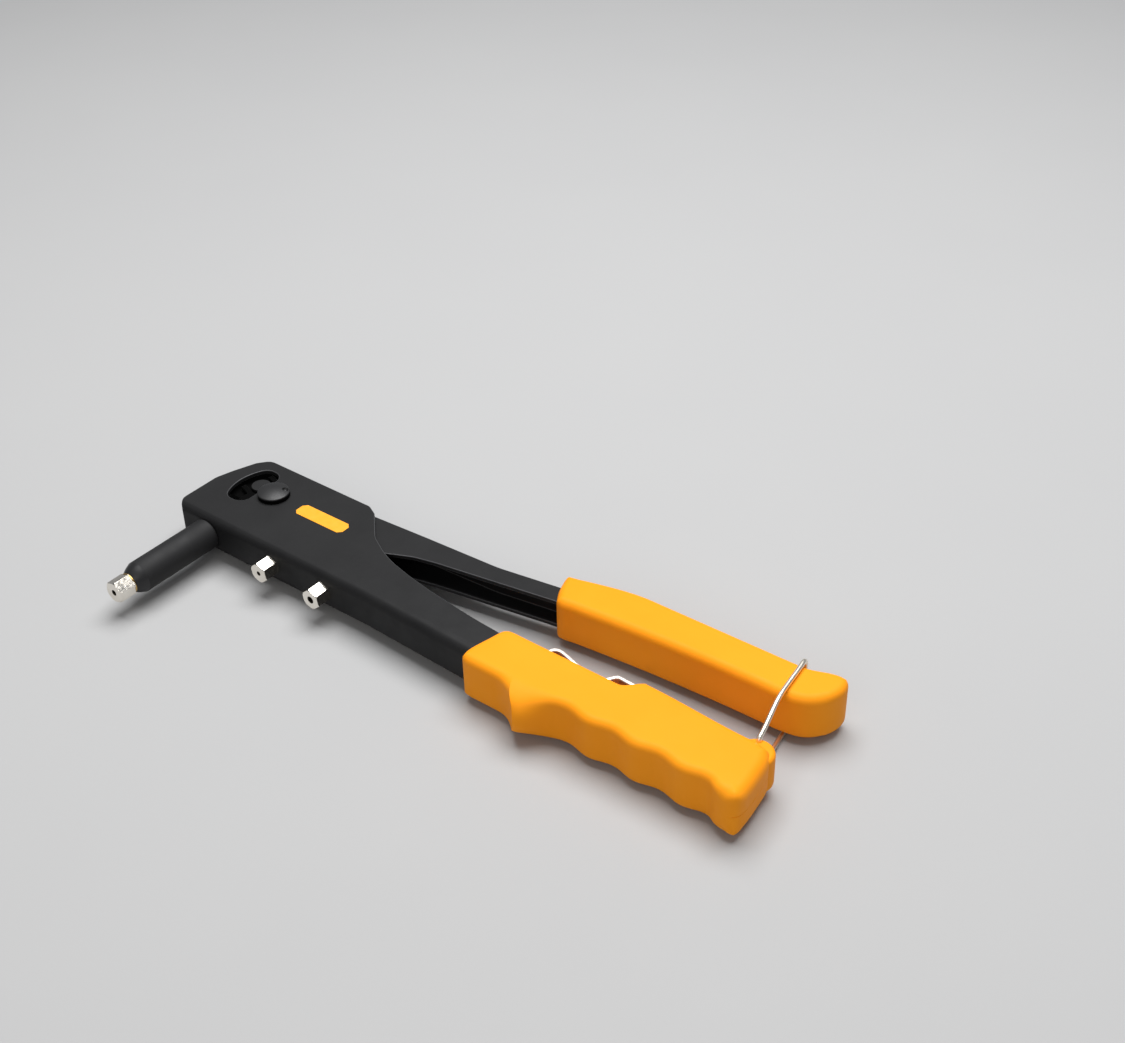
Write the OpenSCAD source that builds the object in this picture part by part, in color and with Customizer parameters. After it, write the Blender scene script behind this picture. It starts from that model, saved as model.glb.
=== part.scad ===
// Hand riveter: a folded steel body with a fixed grip, a lever with a moving grip,
// and a jaw carriage that the lever drives along the barrel.
// X runs from the head to the grips, the barrel points to -Y, and Z crosses the side plates.
// The origin is the mouth of the nosepiece, on the barrel's axis.

/* [Body] */
// Width across the body's side plates
body_w = 16.5; // [16:0.1:17]
// Sheet thickness of the body
body_t = 1.8; // [1.6:0.1:1.9]
// Outer radius of the bend between web and side plates
body_bend_r = 3.8; // [2.5:0.1:4.5]
// Width of the slot in the side plates
slot_w = 12.4; // [11:0.1:12.6]
// Length of the slot in the side plates
slot_len = 23; // [20:0.5:24]

/* [Pivot] */
// Distance from the barrel's axis to the pivot
pivot_x = 11.9; // [11.7:0.05:12.1]
// Height of the pivot above the nosepiece's mouth
pivot_y = 73; // [72.8:0.1:73.4]
// Shank radius of the pivot pin
pivot_r = 3; // [2.5:0.1:3.2]
// Radius of the pivot pin's domed head
pivot_head_r = 6.4; // [5:0.1:6.6]

/* [Barrel] */
// Outer radius of the barrel
barrel_r = 6.5; // [6.2:0.1:7]
// Radius of the barrel's bore
barrel_bore_r = 4.7; // [4.65:0.05:4.9]
// Height at which the barrel leaves the web
barrel_root_y = 47.25; // [47:0.05:47.5]
// Width across the flats of the installed nosepiece
nose_flats = 8; // [7:0.1:9]
// Length of a nosepiece's hexagon
nose_len = 7.1; // [6:0.1:8]
// Mandrel hole radius of the installed nosepiece
nose_bore_r = 1.2; // [0.9:0.05:1.6]

/* [Lever] */
// Sheet thickness of the lever
lever_t = 1.6; // [1.4:0.1:1.7]
// Radius of the trunnions
trunnion_r = 3.9; // [3.6:0.1:4]
// Height of the trunnions when the handles are closed
trunnion_y = 77.2; // [77:0.1:77.5]

/* [Grips] */
// Thickness of both grips
grip_w = 19; // [18.8:0.1:20]
// Distance between the finger grooves
groove_pitch = 18.75; // [17:0.25:20]
// Depth of the finger grooves
groove_depth = 1.4; // [0:0.1:2]
// How far the finger guard stands out
guard_h = 8; // [3:0.1:9]

/* [Bail] */
// Wire radius of the bail
bail_wire_r = 0.9; // [0.8:0.05:1]
// Length from the bail's hinge to its crossbar
bail_len = 41.7; // [41.6:0.1:43]

/* [Hidden] */
$fn = 96;

steel = [0.22, 0.22, 0.23];
nickel = [0.78, 0.76, 0.72];
plastic = [0.98, 0.72, 0.1];
gap = 0.3;
fit = 0.06;

body_hw = body_w / 2;
body_in = body_hw - body_t;
web_y = barrel_root_y;
web_in_y = web_y + body_t;
slot_top_y = 84.95;
slot_right_x = 5.2;
slope_x0 = 83;
slope_x1 = 136;
web_drop = 2.25;
lever_hw = body_in - 0.35;
lever_in = lever_hw - lever_t;
spigot_r = 5.45;
spigot_end_y = 53;
nut_r = 6.2;
nose_thread_r = 2.95;
nose_seat_y = 12.6;
bore_floor_y = 13.6;
taper_y = 12;
tip_r = 4.1;
spare_flats = 7.5;
spare_len = 6.75;
spare_a_x = 35.25;
spare_b_x = 62.6;
grip_hw = grip_w / 2;

case_front_y = 28.5;
case_rear_y = 52;
case_r = barrel_bore_r - 0.08;
case_wall_y = 49;
cone_end_y = 38.5;
cone_front_r = 2.6;
cone_rear_r = 3.9;
rod_r = 3;
mandrel_r = 1.6;
block_y0 = trunnion_y - 9.6;
block_y1 = trunnion_y + 11;
block_x0 = -12;
block_x1 = 5;
block_hz = lever_in - gap;
arm_angle = atan2(trunnion_y - pivot_y, -pivot_x);
fork_half = trunnion_r + 0.85;
fork_prong = 2.3;
fork_floor = pivot_x - trunnion_r - 0.4;
fork_reach = 16.5;

bail_x = 240.3;
bail_y = 67.9;
bail_angle = 9.7;
bail_hz = grip_hw + bail_wire_r + 0.4;
bail_bend_r = 3;
bail_lobe_x = 241.9;
bail_lobe_y = 63.4;
bail_lobe_r = 6.6;
bail_lobe_hz = 7;
bail_pin_end = 2;

// Points of a corner with a round of radius p[2], between its neighbours a and b.
function unit(v) = v / norm(v);
function corner(a, p, b, n = 6) =
    p[2] == 0 ? [[p[0], p[1]]] :
    let (o = [p[0], p[1]],
         u = unit([a[0], a[1]] - o),
         w = unit([b[0], b[1]] - o),
         half = acos(u * w) / 2,
         c = o + unit(u + w) * p[2] / sin(half),
         s = o + u * p[2] / tan(half) - c,
         e = o + w * p[2] / tan(half) - c,
         a0 = atan2(s[1], s[0]),
         turn = atan2(s[0] * e[1] - s[1] * e[0], s * e))
    [for (i = [0:n]) c + p[2] * [cos(a0 + turn * i / n), sin(a0 + turn * i / n)]];
function rounded(pts) =
    [for (i = [0:len(pts) - 1])
        each corner(pts[(i + len(pts) - 1) % len(pts)], pts[i], pts[(i + 1) % len(pts)])];

// Outline of a strip of thickness t along a path.
function side(path, i) =
    let (a = path[max(i - 1, 0)], b = path[min(i + 1, len(path) - 1)], d = unit(b - a))
    [-d[1], d[0]];
function ribbon(path, t) =
    concat([for (i = [0:len(path) - 1]) path[i] + side(path, i) * t / 2],
           [for (i = [len(path) - 1:-1:0]) path[i] - side(path, i) * t / 2]);

function smooth(t) = t <= 0 ? 0 : t >= 1 ? 1 : t * t * (3 - 2 * t);

module turned(profile) {
    rotate([-90, 0, 0])
        rotate_extrude()
            polygon(profile);
}

module rod_y(r, y0, y1) {
    translate([0, y0, 0])
        rotate([-90, 0, 0])
            cylinder(r = r, h = y1 - y0);
}

module hex_y(flats, y0, y1, turn = 20) {
    translate([0, y0, 0])
        rotate([-90, 0, 0])
            rotate([0, 0, turn])
                cylinder(r = flats / 2 / cos(30), h = y1 - y0, $fn = 6);
}

module along_x(x0, x1) {
    translate([x0, 0, 0])
        rotate([90, 0, 90])
            linear_extrude(x1 - x0)
                children();
}

module plates(half_w) {
    linear_extrude(2 * half_w, center = true)
        children();
}

// ---- body ----

module body_outline() {
    polygon(rounded([[-16.6, 47.0, 6], [-16.6, 68.5, 10], [-14.4, 76, 20], [-10.9, 85.3, 4],
                     [-7, 90, 5], [47.6, 90, 4], [52.5, 87.5, 3], [63.5, 76, 12], [72, 71.2, 35],
                     [79.5, 68.2, 45], [90.7, 65.6, 80], [102, 63.6, 80], [124.5, 60.8, 80],
                     [140, 59.6, 60], [228, 59.5, 3], [228, 40, 0], [60, 40, 0]]));
}

module u_outer(y) {
    polygon(rounded([[y, -body_hw, body_bend_r], [100, -body_hw, 0],
                     [100, body_hw, 0], [y, body_hw, body_bend_r]]));
}

module u_inner(y) {
    polygon(rounded([[y + body_t, -body_in, body_bend_r - body_t], [101, -body_in, 0],
                     [101, body_in, 0], [y + body_t, body_in, body_bend_r - body_t]]));
}

// The channel steps down by web_drop between slope_x0 and slope_x1.
module body_sheet() {
    thin = 0.01;
    difference() {
        intersection() {
            plates(body_hw + 1)
                body_outline();
            union() {
                along_x(-20, slope_x0)
                    u_outer(web_y);
                hull() {
                    along_x(slope_x0 - thin, slope_x0)
                        u_outer(web_y);
                    along_x(slope_x1, slope_x1 + thin)
                        u_outer(web_y - web_drop);
                }
                along_x(slope_x1, 230)
                    u_outer(web_y - web_drop);
            }
        }
        along_x(-21, slope_x0)
            u_inner(web_y);
        hull() {
            along_x(slope_x0 - thin, slope_x0)
                u_inner(web_y);
            along_x(slope_x1, slope_x1 + thin)
                u_inner(web_y - web_drop);
        }
        along_x(slope_x1, 231)
            u_inner(web_y - web_drop);
    }
}

// The slot's far side is an arc about the pivot.
module slot_outline() {
    corner_r = 4.6;
    offset(r = corner_r)
        offset(delta = -corner_r)
            intersection() {
                translate([pivot_x, pivot_y])
                    circle(r = pivot_x - slot_right_x + slot_w);
                translate([slot_right_x - 20, slot_top_y - slot_len])
                    square([20, slot_len]);
            }
}

module body_frame() {
    color(steel)
        difference() {
            body_sheet();
            plates(20)
                slot_outline();
            translate([pivot_x, pivot_y, 0])
                cylinder(r = pivot_r + 0.02, h = 40, center = true);
            rod_y(spigot_r + 0.05, web_y - 5, web_y + 8);
            for (x = [spare_a_x, spare_b_x])
                translate([x, 0, 0])
                    rod_y(nose_thread_r + 0.05, web_y - 5, web_y + 8);
        }
}

module label_plate() {
    notch = 1.6;
    x0 = 26.2;
    x1 = 51;
    y0 = 69.4;
    y1 = 76.1;
    color([0.95, 0.75, 0.12])
        translate([0, 0, body_hw])
            linear_extrude(0.15)
                polygon([[x0 + notch, y0], [x1 - notch, y0], [x1, y0 + notch], [x1, y1 - notch],
                         [x1 - notch, y1], [x0 + notch, y1], [x0, y1 - notch], [x0, y0 + notch]]);
}

module pivot_pin() {
    rim_h = 2.2;
    dome_h = 1.4;
    dome_r = (pivot_head_r * pivot_head_r + dome_h * dome_h) / (2 * dome_h);
    peen_h = 0.7;
    peen_hw = 4.2;
    peen_r = (peen_hw * peen_hw + peen_h * peen_h) / (2 * peen_h);
    color(steel)
        translate([pivot_x, pivot_y, 0]) {
            translate([0, 0, -body_hw - 0.4])
                cylinder(r = pivot_r, h = 2 * body_hw + 0.5);
            intersection() {
                translate([0, 0, body_hw + rim_h + dome_h - dome_r])
                    sphere(r = dome_r);
                translate([0, 0, body_hw])
                    cylinder(r = pivot_head_r, h = rim_h + dome_h + 1);
            }
            intersection() {
                translate([0, 0, -body_hw - 0.4 - peen_h + peen_r])
                    sphere(r = peen_r);
                translate([0, 0, -body_hw - 0.4 - peen_h - 1])
                    cylinder(r = peen_hw + 1, h = peen_h + 1);
            }
        }
}

module pivot_washer() {
    color(nickel)
        translate([pivot_x, pivot_y, -body_hw - 0.4])
            difference() {
                cylinder(r = 5.6, h = 0.4);
                translate([0, 0, -1])
                    cylinder(r = pivot_r + 0.05, h = 3);
            }
}

// ---- barrel and nosepieces ----

module barrel() {
    color([0.3, 0.3, 0.31])
        turned([[nose_thread_r + 0.05, nose_len + 0.4], [tip_r, nose_len + 0.4],
                [barrel_r, taper_y], [barrel_r, web_y], [spigot_r, web_y],
                [spigot_r, spigot_end_y], [barrel_bore_r, spigot_end_y],
                [barrel_bore_r, bore_floor_y], [nose_thread_r + 0.05, bore_floor_y]]);
}

// The nut's underside follows the channel's inner bends, which keep it from turning.
module barrel_nut() {
    color(steel)
        difference() {
            intersection() {
                rod_y(nut_r, web_in_y, spigot_end_y - 0.6);
                along_x(-10, 10)
                    u_inner(web_y + 0.02);
            }
            rod_y(spigot_r + 0.05, web_in_y - 1, spigot_end_y + 1);
        }
}

module nose_body(flats, hex_len, shank_end, bore, turn) {
    difference() {
        union() {
            intersection() {
                hex_y(flats, 0, hex_len, turn);
                turned([[0, 0], [flats / 2 + 0.1, 0], [flats / 2 + 0.9, 0.5],
                        [flats / 2 + 0.9, hex_len], [0, hex_len]]);
            }
            rod_y(nose_thread_r, hex_len - 0.5, shank_end);
        }
        rod_y(bore, -1, shank_end + 1);
    }
}

module nosepiece() {
    color(nickel)
        nose_body(nose_flats, nose_len, nose_seat_y, nose_bore_r, -20);
}

module nose_ring() {
    color([0.85, 0.65, 0.25])
        difference() {
            rod_y(tip_r + 0.15, nose_len, nose_len + 0.4);
            rod_y(nose_thread_r + 0.05, nose_len - 1, nose_len + 1);
        }
}

module spare_nosepiece(x, bore) {
    color(nickel)
        translate([x, web_y - spare_len, 0])
            nose_body(spare_flats, spare_len, spare_len + 5.5, bore, 20);
}

module spare_nosepiece_a() {
    spare_nosepiece(spare_a_x, 0.95);
}

module spare_nosepiece_b() {
    spare_nosepiece(spare_b_x, 1.5);
}

// ---- grips: rings of a rounded rectangle, one after another along X ----

// A station is [x, low y, high y, half width, corner radius, lean, guard]. The guard is a
// bulge of the low side, strongest at mid-width, whose crest leans back towards both faces.
function ring(s, n = 4) =
    let (r = min(s[4], (s[2] - s[1]) / 2 - 0.01),
         h = s[3],
         quarter = [for (q = [0:3]) [q == 0 || q == 3 ? 1 : -1, q < 2 ? 1 : -1]])
    [for (q = [0:3])
        for (i = [0:n])
            let (a = 90 * q + 90 * i / n,
                 cy = quarter[q][0] > 0 ? s[2] - r : s[1] + r,
                 cz = quarter[q][1] * (h - r),
                 y = cy + r * cos(a),
                 z = cz + r * sin(a),
                 bulge = quarter[q][0] < 0 ? s[6] : 0,
                 x2 = s[0] + s[5] * (s[2] - y) - guard_lean * bulge * pow(abs(z) / h, 3.2),
                 y2 = y - bulge * sqrt(max(0, 1 - pow(z / h, 2))))
            each (i == n && q == 1 ?
                [[x2, y2, z], [s[0] + s[5] * (s[2] - s[1]), s[1] - s[6], 0]] :
                [[x2, y2, z]])];

module loft(stations) {
    rings = [for (s = stations) ring(s)];
    n = len(rings[0]);
    m = len(rings);
    polyhedron(
        points = [for (r = rings) each r],
        faces = concat(
            [[for (i = [0:n - 1]) i]],
            [[for (i = [n - 1:-1:0]) (m - 1) * n + i]],
            [for (k = [0:m - 2]) for (i = [0:n - 1])
                let (a = k * n + i, b = k * n + (i + 1) % n)
                    each [[a, a + n, b], [b, a + n, b + n]]]));
}

guard_lean = 0.85;
guard_x0 = 151;
guard_x1 = 164.8;
guard_x2 = 176.3;
groove_x0 = 171.4;
wall_y = 40.9;

function guard(x) =
    x < guard_x0 || x > guard_x2 ? 0 :
    x < guard_x1 ? guard_h * pow((x - guard_x0) / (guard_x1 - guard_x0), 1.8) :
    guard_h * smooth((guard_x2 - x) / (guard_x2 - guard_x1));
function fixed_low(x) =
    wall_y - 1.6 * smooth((x - 236) / 6.5) + (x < groove_x0 ? 0 :
    groove_depth / 2 * (1 - cos(360 * (x - groove_x0) / groove_pitch)));
function fixed_high(x) =
    63.1 - 0.006 * (x - 140) + 5.6 * smooth((x - 188) / 7.6) - 1.9 * smooth((x - 196) / 42);

module fixed_grip() {
    left_end = [[137.3, 45.5, 56.5, 7.5, 3, -0.2, 0], [137.9, 43.6, 59.2, 8.6, 3, -0.2, 0],
                [138.9, 42, 61.2, 9.2, 3, -0.2, 0], [140.6, 41.1, 62.4, grip_hw, 3, -0.18, 0]];
    guard_stations = [143, 147, 151, 154, 157, 160, 162.5, guard_x1, 167, 169.5, 172];
    middle = [for (x = concat(guard_stations, [for (x = [175:3:244]) x]))
        [x, fixed_low(x), fixed_high(x), grip_hw, 3,
         0.13 * smooth((x - 225) / 20) - 0.17 * smooth((151 - x) / 9), guard(x)]];
    right_end = [[245.5, 39.4, 65.5, grip_hw, 3, 0.13, 0], [246.9, 39.8, 64.7, 9.1, 3, 0.13, 0],
                 [247.8, 41, 63.5, 8, 3, 0.13, 0]];
    color(plastic)
        difference() {
            union() {
                loft(concat(left_end, middle, right_end));
                translate([bail_lobe_x, bail_lobe_y, 0])
                    cylinder(r = bail_lobe_r, h = 2 * bail_lobe_hz, center = true);
            }
            body_sheet();
            translate([141, 60, -7.8])
                cube([66, 20, 15.6]);
            translate([bail_x, bail_y, 0])
                cylinder(r = bail_wire_r + 0.08, h = 40, center = true);
        }
}

function moving_high(x) =
    97.6 + 9.1 * smooth((x - 120) / 52) + 0.4 * max(0, x - 176) / 54 + 0.5 * smooth((x - 234) / 13);
function moving_low(x) =
    84.4 + 5.6 * (1 - pow(max(0, (234 - x) / 95), 2));

module moving_grip() {
    left_end = [[137.6, 86.4, 98.2, 7.4, 4, 0.47, 0], [138.2, 85.3, 99.7, 8.7, 4, 0.47, 0],
                [139.6, 84.6, 100.4, grip_hw, 4, 0.45, 0]];
    middle = [for (x = [144:6:246])
        [x, moving_low(x), moving_high(x), grip_hw, 4, 0.43 * smooth((178 - x) / 36), 0]];
    right_end = [[249.2, 90.6, 107, 9.2, 4, 0, 0], [250.8, 91.6, 105.8, 8.2, 4, 0, 0],
                 [251.7, 93.2, 104.4, 6.8, 4, 0, 0]];
    color(plastic)
        difference() {
            loft(concat(left_end, middle, right_end));
            lever_sheet();
        }
}

// ---- lever ----

module lever_outline() {
    polygon(rounded([[22, 84, 0], [22, 88, 3], [50.6, 88.1, 60], [77.6, 89.6, 0],
                     [111.6, 91.1, 60], [138, 95.2, 40], [165, 99.2, 40], [236, 101.8, 2],
                     [236, 93.8, 2], [165, 91.2, 40], [138, 87.2, 40], [111.6, 82.8, 60],
                     [90.9, 79.4, 60], [81.4, 77.2, 20], [70, 72, 20], [45, 64, 20],
                     [21, 62.5, 8]]));
}

module lever_sheet() {
    difference() {
        plates(lever_hw)
            lever_outline();
        translate([0, -lever_t, 0])
            plates(lever_in)
                union() {
                    lever_outline();
                    translate([0, -20, 0])
                        lever_outline();
                    translate([10, 60, 0])
                        square([60, 25]);
                }
    }
}

module fork() {
    translate([pivot_x, pivot_y, 0])
        rotate([0, 0, arm_angle])
            difference() {
                translate([-4, -fork_half - fork_prong])
                    square([fork_reach + 4, 2 * (fork_half + fork_prong)]);
                translate([fork_floor + 3, -fork_half])
                    square([fork_reach, 2 * fork_half]);
                translate([fork_floor, -fork_half + 3])
                    square([fork_reach, 2 * fork_half - 6]);
                translate([fork_floor + 3, fork_half - 3])
                    circle(r = 3);
                translate([fork_floor + 3, 3 - fork_half])
                    circle(r = 3);
            }
}

module moving_handle() {
    ear_r = 11.6;
    color(steel)
        difference() {
            union() {
                lever_sheet();
                for (s = [-1, 1])
                    translate([0, 0, s * (lever_in + lever_t / 2)])
                        linear_extrude(lever_t, center = true) {
                            fork();
                            difference() {
                                translate([pivot_x, pivot_y])
                                    circle(r = ear_r);
                                translate([pivot_x, pivot_y])
                                    rotate([0, 0, arm_angle])
                                        translate([0, -20])
                                            square([40, 40]);
                            }
                            translate([14, 63])
                                square([13, 23]);
                            translate([-0.5, 62.5])
                                square([12, 8]);
                        }
            }
            translate([pivot_x, pivot_y, 0])
                cylinder(r = pivot_r + fit, h = 40, center = true);
        }
}

// ---- jaw carriage ----

module pull_block() {
    color([0.45, 0.45, 0.46])
        difference() {
            union() {
                plates(block_hz)
                    polygon([[block_x0, block_y0], [block_x1, block_y0], [block_x1, block_y1],
                             [block_x0 + 4.5, block_y1], [block_x0, block_y1 - 9]]);
                translate([0, trunnion_y, 0])
                    cylinder(r = trunnion_r, h = 2 * (body_in - gap), center = true);
                rod_y(rod_r - 0.02, case_wall_y, block_y0 + 1);
            }
            rod_y(mandrel_r, 0, 100);
        }
}

module jaw_case() {
    color([0.5, 0.5, 0.5])
        turned([[cone_front_r, case_front_y], [case_r - 0.6, case_front_y],
                [case_r, case_front_y + 0.6], [case_r, case_rear_y], [rod_r, case_rear_y],
                [rod_r, case_wall_y], [cone_rear_r, case_wall_y], [cone_rear_r, cone_end_y]]);
}

module case_lock_nut() {
    color(nickel)
        difference() {
            hex_y(7.6, case_rear_y + 0.05, case_rear_y + 3);
            rod_y(rod_r, case_rear_y - 1, case_rear_y + 4);
        }
}

module jaw(side_sign) {
    slope = (cone_rear_r - cone_front_r) / (cone_end_y - case_front_y);
    clear = 0.12;
    y0 = case_front_y + 1;
    y1 = case_front_y + 9;
    color([0.35, 0.35, 0.36])
        intersection() {
            turned([[1.1, y0], [cone_front_r + slope - clear, y0],
                    [cone_front_r + 9 * slope - clear, y1], [1.8, y1], [1.1, y1 - 1]]);
            translate([side_sign > 0 ? 0.2 : -10.2, 0, -10])
                cube([10, 60, 20]);
        }
}

module jaw_left() {
    jaw(-1);
}

module jaw_right() {
    jaw(1);
}

module jaw_pusher() {
    y = case_front_y + 9.1;
    color(nickel)
        turned([[1.3, y], [3.4, y], [3.4, y + 2], [2.1, y + 2], [2.1, y + 8], [1.3, y + 8]]);
}

module jaw_spring() {
    wire_r = 0.4;
    coil_r = 2.95;
    turns = 5;
    steps = 16;
    sides = 8;
    y0 = case_front_y + 11.1 + wire_r;
    y1 = case_wall_y - wire_r;
    rings = turns * steps;
    color(nickel)
        polyhedron(
            points = [for (k = [0:rings]) for (i = [0:sides - 1])
                let (a = 360 * k / steps, b = 360 * i / sides, r = coil_r + wire_r * cos(b))
                [r * cos(a), y0 + (y1 - y0) * k / rings + wire_r * sin(b), r * sin(a)]],
            faces = concat(
                [[for (i = [sides - 1:-1:0]) i]],
                [[for (i = [0:sides - 1]) rings * sides + i]],
                [for (k = [0:rings - 1]) for (i = [0:sides - 1])
                    let (a = k * sides + i, b = k * sides + (i + 1) % sides)
                        each [[a, b, a + sides], [b, b + sides, a + sides]]]));
}

// ---- bail and wrench ----

module bail() {
    w = bail_wire_r;
    straight = bail_len - bail_bend_r;
    color(nickel)
        translate([bail_x, bail_y, 0])
            rotate([0, 0, bail_angle]) {
                for (s = [-1, 1]) {
                    translate([0, 0, s > 0 ? bail_pin_end : -bail_hz])
                        cylinder(r = w, h = bail_hz - bail_pin_end);
                    translate([0, 0, s * bail_hz])
                        sphere(r = w);
                    translate([0, 0, s * bail_hz])
                        rod_y(w, 0, straight);
                    translate([0, straight, s * (bail_hz - bail_bend_r)])
                        rotate([0, -90, 0])
                            rotate([0, 0, s > 0 ? 0 : 90])
                                rotate_extrude(angle = 90)
                                    translate([bail_bend_r, 0])
                                        circle(r = w);
                }
                translate([0, bail_len, bail_bend_r - bail_hz])
                    cylinder(r = w, h = 2 * (bail_hz - bail_bend_r));
            }
}

module nosepiece_wrench() {
    strip_t = 1.7;
    strip_hz = 7.4;
    path = [[157.2, 61.5], [157.6, 63.5], [158.5, 64.9], [159.9, 65.5], [161.6, 65.4],
            [164.4, 64.6], [168, 63.6], [172, 62.5], [176, 61.8], [179.5, 61.8], [181.8, 62.5],
            [183.1, 64], [184.1, 65.6], [185.4, 66.4], [188.6, 66.2], [205.5, 65.7]];
    color(nickel)
        difference() {
            plates(strip_hz)
                polygon(ribbon(path, strip_t));
            translate([197, 60, -4.1])
                cube([20, 10, 8.2]);
            translate([197, 60, 0])
                rod_y(4.1, 0, 10);
        }
}

body_frame();
barrel();
barrel_nut();
nosepiece();
nose_ring();
spare_nosepiece_a();
spare_nosepiece_b();
pivot_pin();
pivot_washer();
label_plate();
fixed_grip();
nosepiece_wrench();
moving_handle();
moving_grip();
pull_block();
jaw_case();
case_lock_nut();
jaw_left();
jaw_right();
jaw_pusher();
jaw_spring();
bail();
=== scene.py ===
"""Looks of the hand riveter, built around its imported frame: metres, in the frame's axes."""

import math

import bmesh
import bpy
from mathutils import Matrix, Vector


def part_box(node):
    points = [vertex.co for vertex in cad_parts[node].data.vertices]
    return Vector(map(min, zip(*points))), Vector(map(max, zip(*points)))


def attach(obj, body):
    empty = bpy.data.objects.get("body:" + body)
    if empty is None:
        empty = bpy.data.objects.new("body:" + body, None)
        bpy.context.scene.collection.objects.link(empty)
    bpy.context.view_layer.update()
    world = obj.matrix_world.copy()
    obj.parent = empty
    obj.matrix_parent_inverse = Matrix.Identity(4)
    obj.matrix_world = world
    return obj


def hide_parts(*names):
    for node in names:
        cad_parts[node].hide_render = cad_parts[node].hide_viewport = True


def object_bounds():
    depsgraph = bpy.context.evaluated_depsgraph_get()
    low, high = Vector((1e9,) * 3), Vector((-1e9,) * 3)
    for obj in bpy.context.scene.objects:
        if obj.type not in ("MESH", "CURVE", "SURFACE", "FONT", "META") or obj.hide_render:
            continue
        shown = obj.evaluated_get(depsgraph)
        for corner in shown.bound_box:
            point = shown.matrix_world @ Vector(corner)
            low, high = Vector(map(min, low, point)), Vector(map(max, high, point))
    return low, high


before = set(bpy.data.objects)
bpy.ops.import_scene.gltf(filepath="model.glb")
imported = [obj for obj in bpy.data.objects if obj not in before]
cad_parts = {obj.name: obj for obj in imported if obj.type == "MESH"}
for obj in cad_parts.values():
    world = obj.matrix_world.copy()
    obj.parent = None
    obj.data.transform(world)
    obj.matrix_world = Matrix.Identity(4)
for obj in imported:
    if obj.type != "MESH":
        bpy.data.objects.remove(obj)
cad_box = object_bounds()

MM = 0.001
FLOOR_Z = cad_box[0].z


def smooth(t):
    t = min(1.0, max(0.0, t))
    return t * t * (3 - 2 * t)


# ---------------------------------------------------------------- materials


class Shader:
    """A Principled material whose colour, roughness and bump come from procedural nodes."""

    def __init__(self, name, metallic=0.0, coat=0.0, coat_rough=0.3, specular=0.5):
        self.mat = bpy.data.materials.new(name)
        self.mat.use_nodes = True
        self.tree = self.mat.node_tree
        self.tree.nodes.clear()
        self.bsdf = self.add("ShaderNodeBsdfPrincipled")
        out = self.add("ShaderNodeOutputMaterial")
        self.tree.links.new(self.bsdf.outputs[0], out.inputs["Surface"])
        self.bsdf.inputs["Metallic"].default_value = metallic
        self.bsdf.inputs["Coat Weight"].default_value = coat
        self.bsdf.inputs["Coat Roughness"].default_value = coat_rough
        self.bsdf.inputs["Specular IOR Level"].default_value = specular
        self.coords = self.add("ShaderNodeTexCoord").outputs["Object"]
        self.height = None

    def add(self, kind, **values):
        node = self.tree.nodes.new(kind)
        for key, value in values.items():
            setattr(node, key, value)
        return node

    def feed(self, socket, value):
        if hasattr(value, "is_output"):
            self.tree.links.new(value, socket)
        else:
            socket.default_value = value

    def stretched(self, scale):
        """Object coordinates scaled along each axis, for grain that runs one way."""
        node = self.add("ShaderNodeMapping")
        self.feed(node.inputs["Vector"], self.coords)
        node.inputs["Scale"].default_value = scale
        return node.outputs[0]

    def noise(self, scale, detail, coords=None):
        node = self.add("ShaderNodeTexNoise")
        self.feed(node.inputs["Vector"], coords or self.coords)
        node.inputs["Scale"].default_value = scale
        node.inputs["Detail"].default_value = detail
        node.inputs["Roughness"].default_value = 0.55
        return node.outputs[0]

    def spots(self, scale):
        node = self.add("ShaderNodeTexVoronoi")
        self.feed(node.inputs["Vector"], self.coords)
        node.inputs["Scale"].default_value = scale
        return node.outputs[0]

    def remap(self, value, low, high, to_low=0.0, to_high=1.0):
        node = self.add("ShaderNodeMapRange", clamp=True)
        self.feed(node.inputs["Value"], value)
        for key, number in zip(
            ("From Min", "From Max", "To Min", "To Max"), (low, high, to_low, to_high)
        ):
            node.inputs[key].default_value = number
        return node.outputs[0]

    def math(self, operation, a, b):
        node = self.add("ShaderNodeMath", operation=operation)
        self.feed(node.inputs[0], a)
        self.feed(node.inputs[1], b)
        return node.outputs[0]

    def mix(self, factor, a, b):
        node = self.add("ShaderNodeMix", data_type="RGBA")
        self.feed(node.inputs[0], factor)
        self.feed(node.inputs[6], a)
        self.feed(node.inputs[7], b)
        return node.outputs[2]

    def color(self, value):
        self.feed(self.bsdf.inputs["Base Color"], value)

    def rough(self, value):
        self.feed(self.bsdf.inputs["Roughness"], value)

    def bump(self, *layers):
        """Layers are (height socket, depth in metres)."""
        normal = None
        for socket, depth in layers:
            node = self.add("ShaderNodeBump")
            node.inputs["Strength"].default_value = 1.0
            node.inputs["Distance"].default_value = depth
            self.feed(node.inputs["Height"], socket)
            if normal is not None:
                self.feed(node.inputs["Normal"], normal)
            normal = node.outputs[0]
        self.feed(self.bsdf.inputs["Normal"], normal)
        return self.mat


def grip_material():
    s = Shader("moulded_yellow", specular=0.08)
    cloud = s.remap(s.noise(38, 2), 0.35, 0.68)
    base = s.mix(cloud, (0.92, 0.31, 0.01, 1), (0.94, 0.325, 0.012, 1))
    speck = s.remap(s.noise(2100, 2), 0.7, 0.82, 0.0, 0.18)
    s.color(s.mix(speck, base, (0.66, 0.19, 0.01, 1)))
    s.rough(s.remap(s.noise(160, 3), 0.3, 0.7, 0.42, 0.55))
    flow = s.noise(60, 2, coords=s.stretched((0.35, 1.6, 1.6)))
    return s.bump((s.noise(3400, 2), 0.01 * MM), (flow, 0.06 * MM), (s.spots(900), 0.005 * MM))


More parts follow.
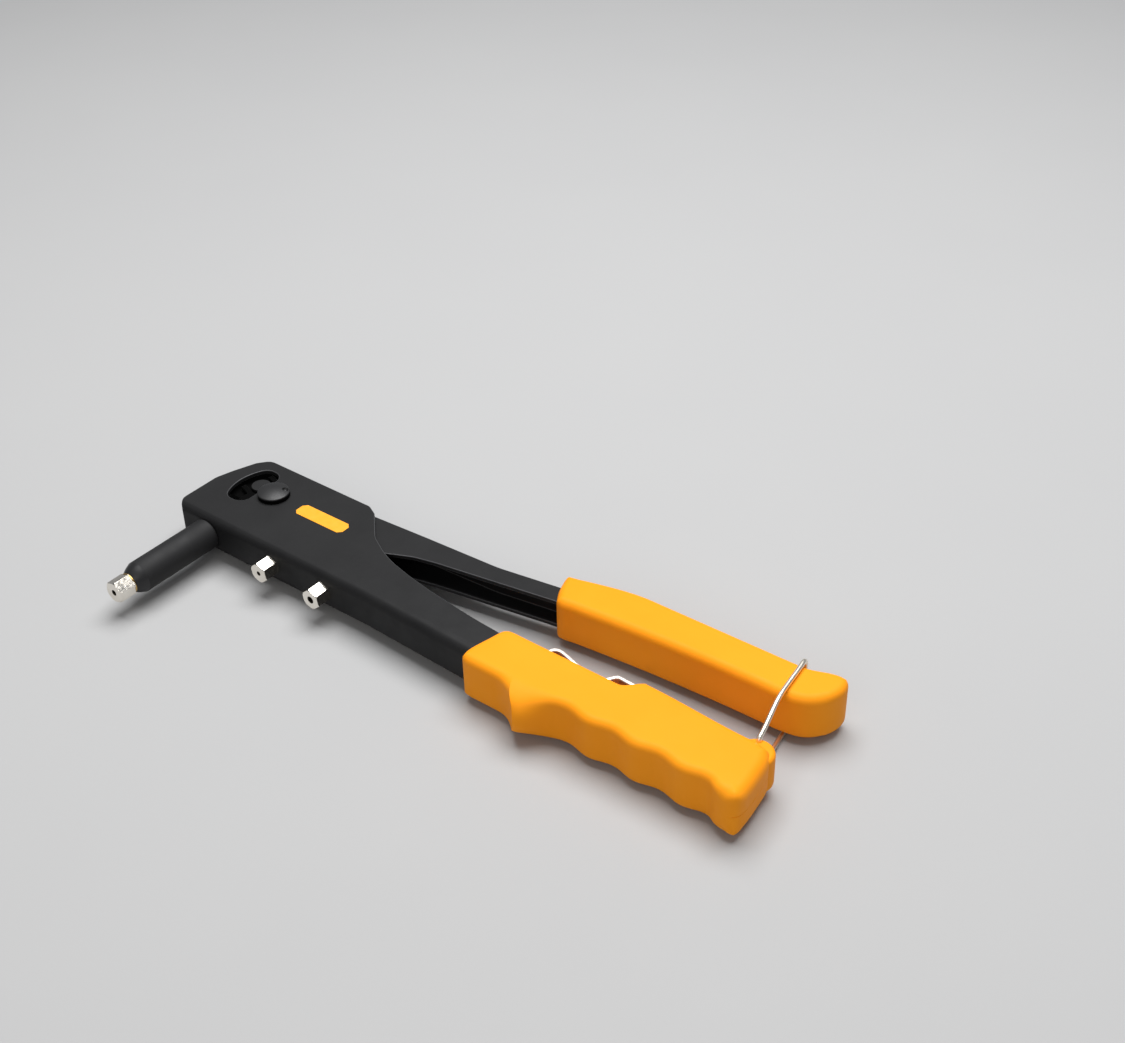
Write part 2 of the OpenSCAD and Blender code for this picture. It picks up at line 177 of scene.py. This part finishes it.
OXIDE = (0.0105, 0.0105, 0.0111)
OXIDE_WORN = (0.0142, 0.0142, 0.0148)
OXIDE_SPECK = (0.036, 0.036, 0.036)
# Near-black painted shade, for places the light hardly reaches.
UNLIT = (0.002, 0.002, 0.002, 1)
X, Z = 0, 2


def dark_steel(name, tone=1.0, rough=(0.5, 0.64), metallic=0.1, specular=0.2, fade=None):
    """Blackened steel, tone times as light as the body's.

    fade is an axis and the two places along it across which painted shade gives way to the steel:
    short of the first the colour is painted near-black and the gloss turned down.
    """
    s = Shader(name, metallic=metallic, specular=specular)
    oxide, worn, bare = (
        tuple(tone * c for c in shade) + (1,) for shade in (OXIDE, OXIDE_WORN, OXIDE_SPECK)
    )
    base = s.mix(s.remap(s.noise(45, 4), 0.3, 0.7), oxide, worn)
    base = s.mix(s.remap(s.noise(1500, 3), 0.64, 0.78, 0.0, 0.3), base, bare)
    # Painted shade: near-black colour and little gloss short of the first place along the axis.
    if fade:
        axis, low, high = fade
        split = s.add("ShaderNodeSeparateXYZ")
        s.feed(split.inputs[0], s.coords)
        base = s.mix(s.remap(split.outputs[axis], low, high), UNLIT, base)
        gloss = s.remap(split.outputs[axis], low, high, 0.02, specular)
        s.feed(s.bsdf.inputs["Specular IOR Level"], gloss)
    s.color(base)
    s.rough(s.remap(s.noise(120, 3), 0.3, 0.7, *rough))
    return s.bump((s.noise(1900, 3), 0.008 * MM), (s.noise(90, 2), 0.015 * MM))


def bright_metal(name, light, dark, rough=(0.12, 0.26), run=(1.0, 1.0, 1.0), relief=0.008):
    """Plated metal: run stretches its scratches, and relief is their depth in mm."""
    s = Shader(name, metallic=1.0)
    scratch = s.noise(700, 4, coords=s.stretched(run))
    tarnish = s.noise(90, 4)
    s.color(s.mix(s.remap(tarnish, 0.35, 0.75), light + (1,), dark + (1,)))
    s.rough(s.remap(s.math("ADD", scratch, s.math("MULTIPLY", tarnish, 0.5)), 0.5, 1.0, *rough))
    return s.bump((scratch, relief * MM), (s.noise(2200, 2), 0.3 * relief * MM))


def inner_steel():
    s = Shader("oiled_inner_steel", metallic=0.8)
    cloud = s.remap(s.noise(120, 4), 0.3, 0.7)
    s.color(s.mix(cloud, (0.06, 0.06, 0.06, 1), (0.11, 0.11, 0.105, 1)))
    s.rough(s.remap(s.noise(300, 3), 0.3, 0.7, 0.28, 0.45))
    return s.bump((s.noise(1300, 3), 0.01 * MM))


def label_material():
    s = Shader("printed_label", specular=0.4, coat=0.1, coat_rough=0.25)
    cloud = s.remap(s.noise(240, 3), 0.35, 0.7)
    s.color(s.mix(cloud, (0.9, 0.36, 0.015, 1), (0.92, 0.39, 0.02, 1)))
    s.rough(s.remap(s.noise(500, 2), 0.3, 0.7, 0.32, 0.45))
    return s.bump((s.noise(1200, 2), 0.006 * MM))


def floor_material():
    s = Shader("studio_floor", specular=0.1)
    s.color(s.mix(s.noise(5, 3), (0.4, 0.4, 0.403, 1), (0.42, 0.42, 0.42, 1)))
    s.rough(s.remap(s.noise(30, 2), 0.3, 0.7, 0.75, 0.9))
    return s.bump((s.noise(700, 2), 0.02 * MM))


EDGE_ROUGH = (0.36, 0.48)
YELLOW = grip_material()
STEEL = dark_steel("black_oxide_steel")
# Painted highlight: the rounded edges of the body channel are painted about five times lighter,
# for the light they catch.
STEEL_EDGE_HIGHLIGHT = dark_steel("steel_edge_painted_highlight", tone=5.5, rough=EDGE_ROUGH, metallic=0.3)
# Painted shade: the lever is painted near-black short of 9 mm along x, its fork end inside the
# body's slot.
LEVER_STEEL_PAINTED_SHADE = dark_steel("black_oxide_lever_painted_shade", fade=(X, 9 * MM, 14 * MM))
# Painted highlight on the lever's rounded edges, itself painted out as near-black shade short of
# 16 mm along x, near the pivot.
LEVER_EDGE_HIGHLIGHT_AND_SHADE = dark_steel(
    "lever_edge_painted_highlight_and_shade", tone=5.5, rough=EDGE_ROUGH, metallic=0.3, fade=(X, 16 * MM, 30 * MM)
)
# Painted shade: the pull block is painted near-black with little gloss below 4.6 mm in z, for the
# dark inside of the body.
BLOCK_PAINTED_SHADE = dark_steel("block_painted_shade", metallic=0.0, fade=(Z, 4.6 * MM, 5.4 * MM))
# Painted shade: the side wall of the rivet's head is painted near-black below 9.6 mm in z, under
# its polished rim and dome.
BUTTON_PAINTED_SHADE = dark_steel(
    "polished_black_rivet_painted_shade", tone=1.35, rough=(0.38, 0.46), specular=0.42,
    fade=(Z, 9.6 * MM, 10.2 * MM),
)
CONE = dark_steel(
    "polished_barrel_cone", tone=1.7, rough=(0.3, 0.4), metallic=0.3, specular=0.4
)
TURNED = dark_steel("turned_black_steel", tone=1.2, rough=(0.56, 0.68), specular=0.25)
SATIN = bright_metal("satin_nickel", (0.93, 0.9, 0.85), (0.84, 0.8, 0.74), (0.38, 0.5))
NICKEL = bright_metal("bright_nickel", (0.86, 0.82, 0.75), (0.7, 0.65, 0.57))
WIRE = bright_metal(
    "drawn_nickel_wire", (0.95, 0.9, 0.8), (0.74, 0.67, 0.56), (0.3, 0.4),
    run=(1, 0.1, 1), relief=0.002,
)
BRASS = bright_metal("brass", (0.62, 0.42, 0.15), (0.4, 0.26, 0.09), (0.25, 0.4))
INNER = inner_steel()
LABEL = label_material()


# ---------------------------------------------------------------- mesh tools


def piece(name, mesh, material, body, nodes=(), angle=40):
    """Links the mesh as a shown piece that rides on a body and stands for CAD nodes."""
    mesh.materials.clear()
    mesh.materials.append(material)
    obj = bpy.data.objects.new(name, mesh)
    bpy.context.scene.collection.objects.link(obj)
    mesh.shade_smooth()
    mesh.set_sharp_from_angle(angle=math.radians(angle))
    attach(obj, body)
    if nodes:
        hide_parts(*nodes)
    return obj


def finished(bm, name):
    """The solid in bm as a mesh, with its faces turned outwards."""
    bmesh.ops.recalc_face_normals(bm, faces=bm.faces)
    mesh = bpy.data.meshes.new(name)
    bm.to_mesh(mesh)
    bm.free()
    return mesh


def applied(obj):
    """The object's mesh with its modifiers in it."""
    graph = bpy.context.evaluated_depsgraph_get()
    mesh = bpy.data.meshes.new_from_object(obj.evaluated_get(graph))
    obj.modifiers.clear()
    obj.data = mesh
    return obj


def weigh_normals(obj):
    """Shades each large face flat, up to the rounding beside it."""
    mod = obj.modifiers.new("flat faces stay flat", "WEIGHTED_NORMAL")
    mod.keep_sharp = True
    return obj


SAME_POINT = 0.03 * MM
SAME_PLANE = math.radians(0.6)


def eased(node, name, material, body, width, segments=3, edge_material=None):
    """The CAD node's own shape with its triangles merged into faces and its edges rounded.

    width is the rounding's; an edge_material paints a highlight along the rounded edges.
    """
    bm = bmesh.new()
    bm.from_mesh(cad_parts[node].data)
    bmesh.ops.remove_doubles(bm, verts=bm.verts, dist=SAME_POINT)
    bmesh.ops.dissolve_limit(bm, angle_limit=SAME_PLANE, verts=bm.verts, edges=bm.edges)
    obj = piece(name, finished(bm, name), material, body, [node])
    mod = obj.modifiers.new("eased edges", "BEVEL")
    mod.width = width
    mod.segments = segments
    mod.limit_method = "ANGLE"
    mod.angle_limit = math.radians(30)
    mod.use_clamp_overlap = edge_material is None
    if edge_material:
        obj.data.materials.append(edge_material)
        mod.material = 1
    applied(obj)
    obj.data.shade_smooth()
    obj.data.set_sharp_from_angle(angle=math.radians(45))
    return weigh_normals(obj)


def catmull(a, b, c, d, t):
    """A point between b and c on the curve through all four."""
    square = (2 * a - 5 * b + 4 * c - d) * t * t
    cube = (3 * b - a - 3 * c + d) * t**3
    return 0.5 * (2 * b + (c - a) * t + square + cube)


def open_spline(points, step):
    """A curve through points, from the first to the last, with points about step apart."""
    p = [Vector(q) for q in (points[0], *points, points[-1])]
    out = []
    for a, b, c, d in zip(p, p[1:], p[2:], p[3:]):
        parts = max(1, round((c - b).length / step))
        out += [catmull(a, b, c, d, k / parts) for k in range(parts)]
    return out + [p[-1]]


def spline(points, step):
    """A closed curve through points, with points about step apart."""
    n = len(points)
    parts = 16
    dense = []
    for i in range(n):
        p = [Vector(points[(i + k) % n]) for k in (-1, 0, 1, 2)]
        dense += [catmull(*p, j / parts) for j in range(parts)]
    out, travelled = [dense[0]], 0.0
    for a, b in zip(dense, dense[1:]):
        travelled += (b - a).length
        if travelled >= step:
            out.append(b)
            travelled = 0.0
    if (out[-1] - out[0]).length < 0.4 * step:
        out.pop()
    return out


LEAST_ROUNDING = 0.6
CORNER_SHARE = 0.85
ROUNDING_TAPER = 0.4


def edge_radii(outline, normals, edge):
    """The rounding at each point: edge(p), but less than the outline's own radius at a corner.

    Along the outline it changes by at most ROUNDING_TAPER of the way.
    """
    n = len(outline)
    radii = []
    for i in range(n):
        turn = normals[i - 1].angle(normals[(i + 1) % n])
        span = (outline[(i + 1) % n] - outline[i - 1]).length
        a, b = normals[i - 1], normals[(i + 1) % n]
        bends_out = a.x * b.y - a.y * b.x > 0
        own = CORNER_SHARE * span / turn if bends_out and turn > 0.02 else math.inf
        radii.append(max(LEAST_ROUNDING, min(edge(outline[i]), own)))
    for order in (range(2 * n), range(2 * n, 0, -1)):
        step = 1 if order.step > 0 else -1
        for k in order:
            i, before = k % n, (k - step) % n
            gap = (outline[i] - outline[before]).length
            radii[i] = min(radii[i], radii[before] + ROUNDING_TAPER * gap)
    return radii


WALL_ROWS = (0, 0.025, 0.09, 0.2, 0.36, 0.54, 0.72, 0.88)


def plan_solid(outline, edge, half, push=None, rows=7):
    """A solid with this outline in plan, in mm, rounded along its upper and lower edges.

    half is half the height, and edge(p) the rounding near the outline's point p. push moves each
    point of the skin. The upright wall has its rows at WALL_ROWS; the rounding has rows steps.
    """
    n = len(outline)
    normals = []
    for i in range(n):
        d = outline[(i + 1) % n] - outline[i - 1]
        normals.append(Vector((d.y, -d.x)).normalized())
    radii = edge_radii(outline, normals, edge)
    wall = [(share, 0.0) for share in WALL_ROWS]
    bend = [(1.0, math.radians(90) * k / rows) for k in range(rows + 1)]
    levels = [(-1, *row) for row in reversed(wall[1:] + bend)]
    levels += [(1, *row) for row in wall + bend]
    bm = bmesh.new()
    made = []
    for side, share, a in levels:
        row = []
        for p, normal, r in zip(outline, normals, radii):
            flat = p - normal * r * (1 - math.cos(a))
            q = Vector((flat.x, flat.y, side * ((half - r) * share + r * math.sin(a))))
            row.append(bm.verts.new((push(q) if push else q) * MM))
        made.append(row)
    for low, high in zip(made, made[1:]):
        for i in range(n):
            j = (i + 1) % n
            bm.faces.new((low[i], low[j], high[j], high[i]))
    for row in (made[0], made[-1]):
        rim = [bm.edges.get((row[i], row[(i + 1) % n])) for i in range(n)]
        bmesh.ops.triangle_fill(bm, use_beauty=True, edges=rim)
    return bm


def tube(path, radius):
    """A round wire along path, with rounded ends."""
    sides, cap = 20, 4
    points = [Vector(p) for p in path]
    stations = []
    for i, p in enumerate(points):
        a, b = points[max(i - 1, 0)], points[min(i + 1, len(points) - 1)]
        stations.append((p, (b - a).normalized(), radius))
    first, last = stations[0], stations[-1]
    for k in range(1, cap):
        a = math.radians(90) * k / cap
        r, out = radius * math.cos(a), radius * math.sin(a)
        stations.insert(0, (first[0] - first[1] * out, first[1], r))
        stations.append((last[0] + last[1] * out, last[1], r))
    bm = bmesh.new()
    up = Vector((0.3, 0.2, 0.93))
    rows = []
    for p, d, r in stations:
        up = (up - d * up.dot(d)).normalized()
        side = d.cross(up)
        turn = [2 * math.pi * i / sides for i in range(sides)]
        rows.append([bm.verts.new(p + r * (math.cos(t) * up + math.sin(t) * side)) for t in turn])
    for low, high in zip(rows, rows[1:]):
        for i in range(sides):
            j = (i + 1) % sides
            bm.faces.new((low[i], low[j], high[j], high[i]))
    for row in (rows[0], rows[-1]):
        bm.faces.new(row)
    return bm


def lathe(profile, centre, axis):
    """A turned solid: profile is (radius, height) from one end of the axis to the other."""
    sides = 96
    turn = Vector((0, 0, 1)).rotation_difference(Vector(axis)).to_matrix()
    bm = bmesh.new()
    rows = []
    for r, h in profile:
        if r < 1e-9:
            rows.append([bm.verts.new(Vector(centre) + turn @ Vector((0, 0, h)))])
            continue
        angles = [2 * math.pi * i / sides for i in range(sides)]
        ring = [turn @ Vector((r * math.cos(a), r * math.sin(a), h)) for a in angles]
        rows.append([bm.verts.new(Vector(centre) + p) for p in ring])
    for low, high in zip(rows, rows[1:]):
        for i in range(sides):
            j = (i + 1) % sides
            if len(low) == 1:
                bm.faces.new((low[0], high[j], high[i]))
            elif len(high) == 1:
                bm.faces.new((low[i], low[j], high[0]))
            else:
                bm.faces.new((low[i], low[j], high[j], high[i]))
    return bm


# ---------------------------------------------------------------- grips


GRIP_HALF = 9.5
FIXED_INNER, FIXED_OUTER = 63.1, 40.9
STEP_START, STEP_RISE, STEP_FALL = 188, 5.6, 1.9
POMMEL_START, POMMEL_DEPTH = 236, 1.6
MOVING_OUTER, MOVING_INNER = 97.6, 84.4
FLARE_START, FLARE_RISE = 233.5, 3.3
GUARD_START, GUARD_CREST, GUARD_END = 151.0, 164.8, 176.3
GUARD_HEIGHT = 8.0
GUARD_LEAN = 6.9
LOW_SIDE = 48
FINGERS_START, FINGER_PITCH, FINGER_DEPTH = 171.4, 18.75, 1.7
PARTING_START, PARTING_DEPTH = 245, 0.3
WRENCH_POCKET = (141, 59.7, -7.8), (207, 80, 7.8)
LOBE_CENTRE, LOBE_R, LOBE_HALF, LOBE_ROUNDING = (241.9, 63.4), 6.6, 7.0, 1.6


def fixed_high(x):
    """The fixed grip's inner side, which steps up behind the wrench and falls off slowly."""
    step = STEP_RISE * smooth((x - STEP_START) / 7.6) - STEP_FALL * smooth((x - 196) / 42)
    return FIXED_INNER - 0.006 * (x - 140) + step


def fixed_low(x):
    """The fixed grip's outer side, with its finger grooves, and a pommel at the end."""
    wave = math.cos(2 * math.pi * (x - FINGERS_START) / FINGER_PITCH)
    groove = FINGER_DEPTH / 2 * (1 - wave) if x > FINGERS_START else 0.0
    return FIXED_OUTER + groove - POMMEL_DEPTH * smooth((x - POMMEL_START) / 6.5)


def guard_share(x):
    """How much of the finger guard's height stands at x."""
    if x < GUARD_CREST:
        return max(0.0, (x - GUARD_START) / (GUARD_CREST - GUARD_START)) ** 1.8
    return smooth((GUARD_END - x) / (GUARD_END - GUARD_CREST))


def shaped_guard(p):
    """Pushes the outer side out into the finger guard, and cuts the parting line at the end."""
    if abs(p.z) < 0.01 and p.x > PARTING_START:
        return Vector((p.x - PARTING_DEPTH, p.y, p.z))
    if p.y > LOW_SIDE:
        return p
    share = guard_share(p.x)
    up = min(1.0, abs(p.z) / GRIP_HALF)
    back = GUARD_LEAN * share * up**3.2
    return Vector((p.x - back, p.y - GUARD_HEIGHT * share * math.sqrt(1 - up * up), p.z))


def fixed_rounding(p):
    """The edges are rounder at the end of the grip."""
    return 3 + 1.5 * smooth((p.x - 240) / 7)


def fixed_grip():
    """The fixed grip; its outline starts at the front corner and runs along the outer side."""
    corner = [(134.8, 46.3), (134.9, 44.0), (136.0, 41.8), (138.6, 40.95)]
    low = [(x, fixed_low(x)) for x in [142, 146.5, 151, *range(154, 242, 3)]]
    right = [(244, 39.5), (247, 39.3), (249.3, 40.4), (250.3, 43), (250.2, 48), (249.5, 54)]
    right += [(248.8, 59), (247.9, 62.4), (246.1, 64.9), (243.2, 65.9)]
    high = [(x, fixed_high(x)) for x in range(239, 145, -2)]
    left = [(142.2, 63.1), (139.8, 62.5), (137.9, 60.5), (136.6, 55.0), (135.3, 49.6)]
    outline = spline(corner + low + right + high + left, 0.7)
    lower = [p for p in outline if p.y < LOW_SIDE]
    crest = min(lower, key=lambda p: abs(p.x - GUARD_CREST))
    crest.x = GUARD_CREST
    return plan_solid(outline, fixed_rounding, GRIP_HALF, shaped_guard)


def moving_high(x):
    """The moving grip's outer side, which rises from the front and flares at the end."""
    rise = 9.1 * smooth((x - 120) / 52) + 0.4 * max(0.0, x - 176) / 54
    return MOVING_OUTER + rise + FLARE_RISE * smooth((x - FLARE_START) / 13)


def moving_low(x):
    """The moving grip's inner side, bowed a little."""
    return MOVING_INNER + 5.6 * (1 - (max(0.0, 234 - x) / 95) ** 2)


def moving_rounding(p):
    """The outer edges are a little sharper than the inner ones."""
    return 2.9 if p.y > 97 else 3.3


def moving_grip():
    """The moving grip; its outline starts on the inner side and runs to the flared end."""
    low = [(x, moving_low(x)) for x in range(150, 236, 6)]
    right = [(241.0, 91.0), (245.3, 93.2), (248.9, 97.2), (250.9, 102.3), (251.0, 106.6)]
    right += [(249.6, 109.6), (246.9, 110.5)]
    high = [(x, moving_high(x)) for x in [243, 239, 236, 233, 230, *range(225, 146, -5)]]
    left = [(142.6, 101.2), (139.9, 100.5), (138.1, 99.0), (138.2, 96.0), (139.8, 91.4)]
    left += [(142.2, 87.2), (143.7, 85.5), (146.4, 85.05)]
    outline = spline(low + right + high + left, 0.8)
    return plan_solid(outline, moving_rounding, GRIP_HALF)


def grip_lobe():
    """The round end of the fixed grip, which holds the bail's feet."""
    sides = 72
    turn = [2 * math.pi * k / sides for k in range(sides)]
    outline = [
        Vector(LOBE_CENTRE) + LOBE_R * Vector((math.cos(a), math.sin(a))) for a in turn
    ]
    return plan_solid(outline, lambda p: LOBE_ROUNDING, LOBE_HALF)


CUT_ANGLE = 32


def cut(obj, bm):
    """Takes the solid in bm out of obj."""
    tool = bpy.data.objects.new("cutter", finished(bm, "cutter"))
    bpy.context.scene.collection.objects.link(tool)
    mod = obj.modifiers.new("cut", "BOOLEAN")
    mod.operation = "DIFFERENCE"
    mod.solver = "EXACT"
    mod.object = tool
    applied(obj)
    bpy.data.objects.remove(tool)
    obj.data.set_sharp_from_angle(angle=math.radians(CUT_ANGLE))


def box_solid(low, high):
    """A box between two corners in mm."""
    bm = bmesh.new()
    bmesh.ops.create_cube(bm, size=1.0)
    for v in bm.verts:
        v.co = Vector([(a + b) / 2 + c * (b - a) for a, b, c in zip(low, high, v.co)]) * MM
    return bm


fixed = piece(
    "fixed_grip_skin", finished(fixed_grip(), "fixed_grip_skin"), YELLOW, "frame",
    ["fixed_grip"], angle=CUT_ANGLE,
)
cut(fixed, box_solid(*WRENCH_POCKET))
weigh_normals(fixed)
piece("grip_lobe_skin", finished(grip_lobe(), "grip_lobe_skin"), YELLOW, "frame")
moving = piece(
    "moving_grip_skin", finished(moving_grip(), "moving_grip_skin"), YELLOW, "lever",
    ["moving_grip"], angle=50,
)
weigh_normals(moving)


# ---------------------------------------------------------------- steel parts

# The channels carry a painted highlight along their rounded edges.
eased(
    "body_frame", "body_channel", STEEL, "frame", 0.3 * MM,
    edge_material=STEEL_EDGE_HIGHLIGHT,
)
eased(
    "moving_handle", "lever_channel", LEVER_STEEL_PAINTED_SHADE, "lever", 0.28 * MM,
    edge_material=LEVER_EDGE_HIGHLIGHT_AND_SHADE,
)
for node, name in (
    ("nosepiece", "nosepiece_hex"),
    ("spare_nosepiece_a", "spare_hex_a"),
    ("spare_nosepiece_b", "spare_hex_b"),
):
    eased(node, name, NICKEL, "frame", 0.12 * MM, segments=2)
eased("label_plate", "label_blank", LABEL, "frame", 0.04 * MM, segments=2)
eased(
    "pull_block", "pull_block_body", BLOCK_PAINTED_SHADE, "jaw_carriage", 0.25 * MM, segments=2
)

STRIP_THICK, STRIP_HALF, STRIP_ROUNDING = 1.7, 7.4, 0.22
WRENCH_JAW = (197, 60, -4.1), (217, 70, 4.1)
BARREL_EASE = 0.2
CONE_TIP_R, MOUTH_R, SHOULDER_Y = 4.15, 3.1, 12
CASE_BORE_R, CASE_FLOOR_Y = 4.7, 13.6
THREAD_R, THREAD_START, THREAD_END = 5.45, 47.25, 53
HEAD_FACE, HEAD_WALL_TOP, SHANK_R = 8.25, 10.05, 3
PUNCH_CENTRE, PUNCH_R = (15.4, 76.2, 11.1), 1.3
BAIL_HINGE, BAIL_ANGLE, BAIL_REACH = (240.3, 67.9), 9.7, 41.7
WIRE_R = 0.9


def wrench_strip():
    """The bent strip of the nosepiece wrench, rounded along its edges."""
    middle = [(157.2, 60.6), (157.25, 61.7), (157.6, 63.5), (158.5, 64.9), (159.9, 65.5)]
    middle += [(161.6, 65.4), (164.4, 64.65), (168, 63.55), (172, 62.5), (176, 61.8)]
    middle += [(179.5, 61.8), (181.8, 62.5), (183.1, 64), (184.1, 65.6), (185.4, 66.4)]
    middle += [(188.6, 66.2), (197, 65.95), (205.5, 65.7)]
    path = open_spline(middle, 0.45)
    sides = [[], []]
    for i, p in enumerate(path):
        d = (path[min(i + 1, len(path) - 1)] - path[max(i - 1, 0)]).normalized()
        across = Vector((d.y, -d.x)) * STRIP_THICK / 2
        sides[0].append(p + across)
        sides[1].append(p - across)
    outline = sides[0] + sides[1][::-1]
    return plan_solid(outline, lambda p: STRIP_ROUNDING, STRIP_HALF, rows=3)


def barrel():
    """The turned barrel: a bellied cone up to its shoulder, then a plain bored cylinder."""
    low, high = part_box("barrel")
    tip_y, r = low.y / MM, high.x / MM - BARREL_EASE
    start, root = (CONE_TIP_R, tip_y + 0.25), (r - 0.12, SHOULDER_Y - 0.2)
    profile = [(MOUTH_R, tip_y), (CONE_TIP_R - 0.2, tip_y)]
    for k in range(13):
        t = k / 12
        belly = 0.18 * math.sin(math.pi * t)
        across, along = (a + (b - a) * t for a, b in zip(start, root))
        profile.append((across + belly, along))
    profile += [(r, y) for y in (SHOULDER_Y + 0.1, 20, 30, 40, THREAD_START - 0.65)]
    profile += [(r - 0.2, THREAD_START - 0.25), (THREAD_R, THREAD_START), (THREAD_R, THREAD_END)]
    profile += [(CASE_BORE_R, THREAD_END), (CASE_BORE_R, CASE_FLOOR_Y), (MOUTH_R, CASE_FLOOR_Y)]
    profile.append(profile[0])
    return lathe([(a * MM, b * MM) for a, b in profile], (0, 0, 0), (0, 1, 0))


def rivet_head():
    """The pivot: a low domed head, the shank, and a peened end under the washer."""
    low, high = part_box("pivot_pin")
    cx, cy = (low.x + high.x) / 2, (low.y + high.y) / 2
    r = (high.x - low.x) / 2
    face, wall_top, shank = HEAD_FACE * MM, HEAD_WALL_TOP * MM, SHANK_R * MM
    peened = -8.65 * MM
    profile = [(0, low.z), (2.2 * MM, low.z + 0.1 * MM), (3.9 * MM, low.z + 0.5 * MM)]
    profile += [(4.1 * MM, peened), (shank, peened), (shank, face)]
    profile += [(r - 0.3 * MM, face), (r, face + 0.25 * MM), (r, wall_top)]
    edge = 0.45 * MM
    for k in range(1, 6):
        a = math.radians(62) * k / 5
        profile.append((r - edge * (1 - math.cos(a)), wall_top + edge * math.sin(a)))
    rim_r, rim_z = profile[-1]
    dome = 1.05 * MM
    for k in range(1, 17):
        t = 1 - k / 16
        profile.append((rim_r * t, rim_z + dome * (1 - t * t)))
    return lathe(profile, (cx, cy, 0), (0, 0, 1))


def centre_punch():
    """A small round pit near the rim of the pivot's head."""
    bm = bmesh.new()
    bmesh.ops.create_icosphere(bm, subdivisions=3, radius=PUNCH_R * MM)
    bmesh.ops.translate(bm, verts=bm.verts, vec=Vector(PUNCH_CENTRE) * MM)
    return bm


turned = piece(
    "barrel_body", finished(barrel(), "barrel_body"), TURNED, "frame",
    ["barrel"], angle=12,
)
turned.data.materials.append(CONE)
for face in turned.data.polygons:
    face.material_index = int(face.center.y < SHOULDER_Y * MM)
rivet = piece(
    "pivot_rivet", finished(rivet_head(), "pivot_rivet"), BUTTON_PAINTED_SHADE, "frame",
    ["pivot_pin"],
)
cut(rivet, centre_punch())
strip = piece(
    "wrench_strip", finished(wrench_strip(), "wrench_strip"), SATIN, "wrench",
    ["nosepiece_wrench"],
)
cut(strip, box_solid(*WRENCH_JAW))


def bail_path():
    """From one hinge pin up its leg, over the crossbar and down to the other, in metres."""
    hinge, angle = Vector(BAIL_HINGE), math.radians(BAIL_ANGLE)
    reach, half, foot, bend = BAIL_REACH, 10.8, 8.2, 3.0
    leg_start, leg_end, splay, bow = 1.2, reach - bend, 22, 0.7
    along = Vector((-math.sin(angle), math.cos(angle)))
    path = [(0.0, 2.0), (0.0, 5.0), (0.0, 6.9), (0.15, 7.6), (0.55, 8.02)]
    path.append((leg_start, foot))
    for k in range(1, 25):
        u = leg_start + (leg_end - leg_start) * k / 24
        path.append((u, foot + (half - foot) * smooth(u / splay)))
    for k in range(1, 9):
        a = math.radians(90) * k / 8
        path.append((leg_end + bend * math.sin(a), half - bend * (1 - math.cos(a))))
    path += [(reach, z) for z in (5.2, 2.6, 0.0)]
    mirrored = [(u, -z) for u, z in reversed(path[:-1])]
    out = []
    across = Vector((-along.y, along.x))
    for u, z in path + mirrored:
        p = hinge + along * u + across * bow * smooth(u / 19) * smooth((leg_end - u) / 19)
        out.append(Vector((p.x, p.y, z)) * MM)
    return out


bail_mesh = finished(tube(bail_path(), WIRE_R * MM), "bail_wire")
piece("bail_wire", bail_mesh, WIRE, "bail", ["bail"], angle=60)

for node, material in (
    ("barrel_nut", STEEL),
    ("nose_ring", BRASS),
    ("pivot_washer", NICKEL),
    ("jaw_case", INNER),
    ("case_lock_nut", NICKEL),
    ("jaw_left", INNER),
    ("jaw_right", INNER),
    ("jaw_pusher", NICKEL),
    ("jaw_spring", WIRE),
):
    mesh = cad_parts[node].data
    mesh.materials.clear()
    mesh.materials.append(material)


# ---------------------------------------------------------------- studio


def studio():
    """A wide plain floor under the part."""
    floor = bpy.data.meshes.new("studio_floor")
    bm = bmesh.new()
    span = 3.0
    middle = (cad_box[0] + cad_box[1]) / 2
    corners = [(-1, -1), (1, -1), (1, 1), (-1, 1)]
    bm.faces.new([
        bm.verts.new((middle.x + span * a, middle.y + span * b, FLOOR_Z)) for a, b in corners
    ])
    bm.to_mesh(floor)
    bm.free()
    floor.materials.append(floor_material())
    ground = bpy.data.objects.new("studio_floor", floor)
    bpy.context.scene.collection.objects.link(ground)


def area_light(name, location, target, size, power, color=(1, 1, 1)):
    """A rectangular light of this size in metres and power in watts, facing the target."""
    light = bpy.data.lights.new(name, "AREA")
    light.shape = "RECTANGLE"
    light.size, light.size_y = size
    light.energy = power
    light.color = color
    obj = bpy.data.objects.new(name, light)
    obj.location = location
    aim = Vector(target) - Vector(location)
    obj.rotation_euler = aim.to_track_quat("-Z", "Y").to_euler()
    bpy.context.scene.collection.objects.link(obj)


def sky():
    """Weak, slightly cool light from all round."""
    world = bpy.data.worlds.new("studio")
    world.use_nodes = True
    world.node_tree.nodes["Background"].inputs[0].default_value = (0.95, 0.97, 1.0, 1)
    world.node_tree.nodes["Background"].inputs[1].default_value = 0.2
    bpy.context.scene.world = world


def camera():
    """The photo's camera: where it stands, what it looks at and how far it is rolled."""
    place, aim = Vector((0.4395, -0.2850, 0.38325)), Vector((0.10781, 0.13526, 0))
    roll = math.radians(-1.2934)
    level = (aim - place).to_track_quat("-Z", "Y").to_matrix()
    spin = (level @ Matrix.Rotation(roll, 3, "Z")).to_4x4()
    data = bpy.data.cameras.new("camera")
    data.lens = 53.55
    data.sensor_width = 36.0
    data.clip_start, data.clip_end = 0.01, 20
    obj = bpy.data.objects.new("camera", data)
    obj.matrix_world = Matrix.Translation(place) @ spin
    bpy.context.scene.collection.objects.link(obj)
    bpy.context.scene.camera = obj


studio()
target = (0.12, 0.07, 0)
area_light("overhead", (0.05, 0.35, 1.15), target, size=(1.1, 0.9), power=24)
area_light(
    "front_fill", (0.5, -0.9, 0.7), target, size=(0.8, 0.6), power=3.0, color=(1, 0.97, 0.93)
)
sky()
camera()
bpy.context.scene.view_settings.view_transform = "Standard"
